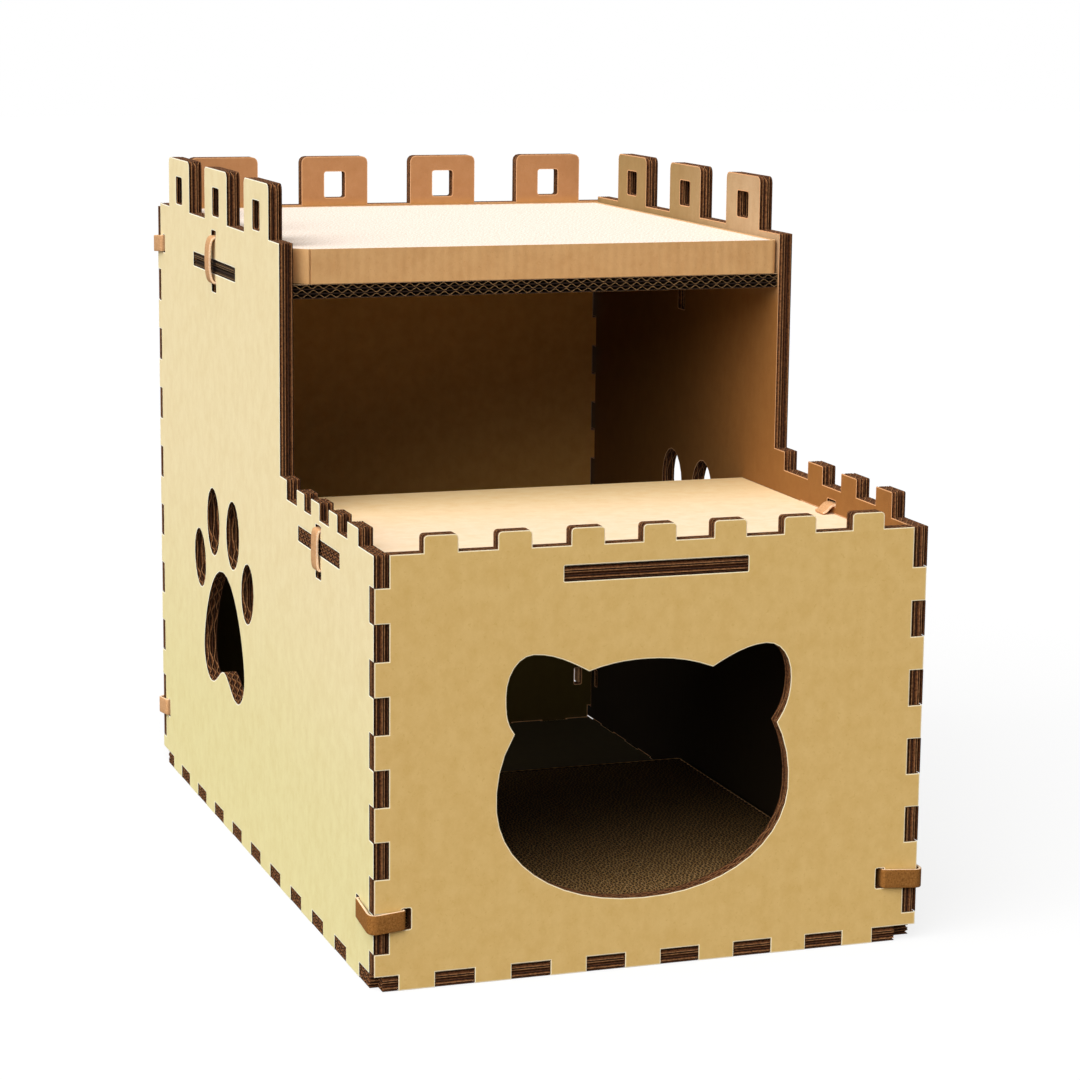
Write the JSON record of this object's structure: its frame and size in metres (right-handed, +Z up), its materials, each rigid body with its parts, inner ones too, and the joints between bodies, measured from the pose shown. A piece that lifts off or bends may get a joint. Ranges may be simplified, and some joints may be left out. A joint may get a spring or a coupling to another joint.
{
  "type": "cat scratcher house",
  "caption": "Castle-shaped cat house of slotted corrugated board, with a cat-head doorway, paw-print cut-outs, an open upper room and loose scratcher pads on the roof shelf and the floor.",
  "frame": {"origin": "middle of the house's footprint, on the ground", "axes": "+X to the house's right as seen from its doorway side, +Y from the doorway to the rear, +Z up"},
  "size_m": [0.4168, 0.6699, 0.527],
  "materials": {
    "kraft_board": "matte corrugated board, kraft liner",
    "pale_board": "matte corrugated board, pale kraft liner",
    "strap": "matte brown webbing",
    "pad_core": "open flutes on edge",
    "pad_wrap": "single-faced kraft board"
  },
  "bodies": {
    "house": {"front_board": "kraft_board", "back_board": "kraft_board", "left_board": "kraft_board", "right_board": "kraft_board", "floor_board": "kraft_board", "deck": "pale_board", "shelf": "kraft_board", "band_front_left": "strap", "band_front_right": "strap", "band_rear_left_low": "strap", "band_rear_left_high": "strap", "band_rear_right_low": "strap", "band_rear_right_high": "strap", "deck_tie_left": "strap", "deck_tie_right": "strap", "shelf_tie_left": "strap", "shelf_tie_right": "strap"},
    "upper_pad": {"upper_pad_core": "pad_core", "upper_pad_wrap": "pad_wrap"},
    "lower_pad": {"lower_pad_core": "pad_core", "lower_pad_wrap": "pad_wrap"}
  },
  "joints": [
    {"name": "upper_pad_lift", "type": "slide", "parent": "house", "child": "upper_pad", "axis": [0, 0, 1], "range_m": [0, 0.08]},
    {"name": "lower_pad_shift", "type": "slide", "parent": "house", "child": "lower_pad", "axis": [0, 1, 0], "range_m": [0, 0.235]}
  ]
}
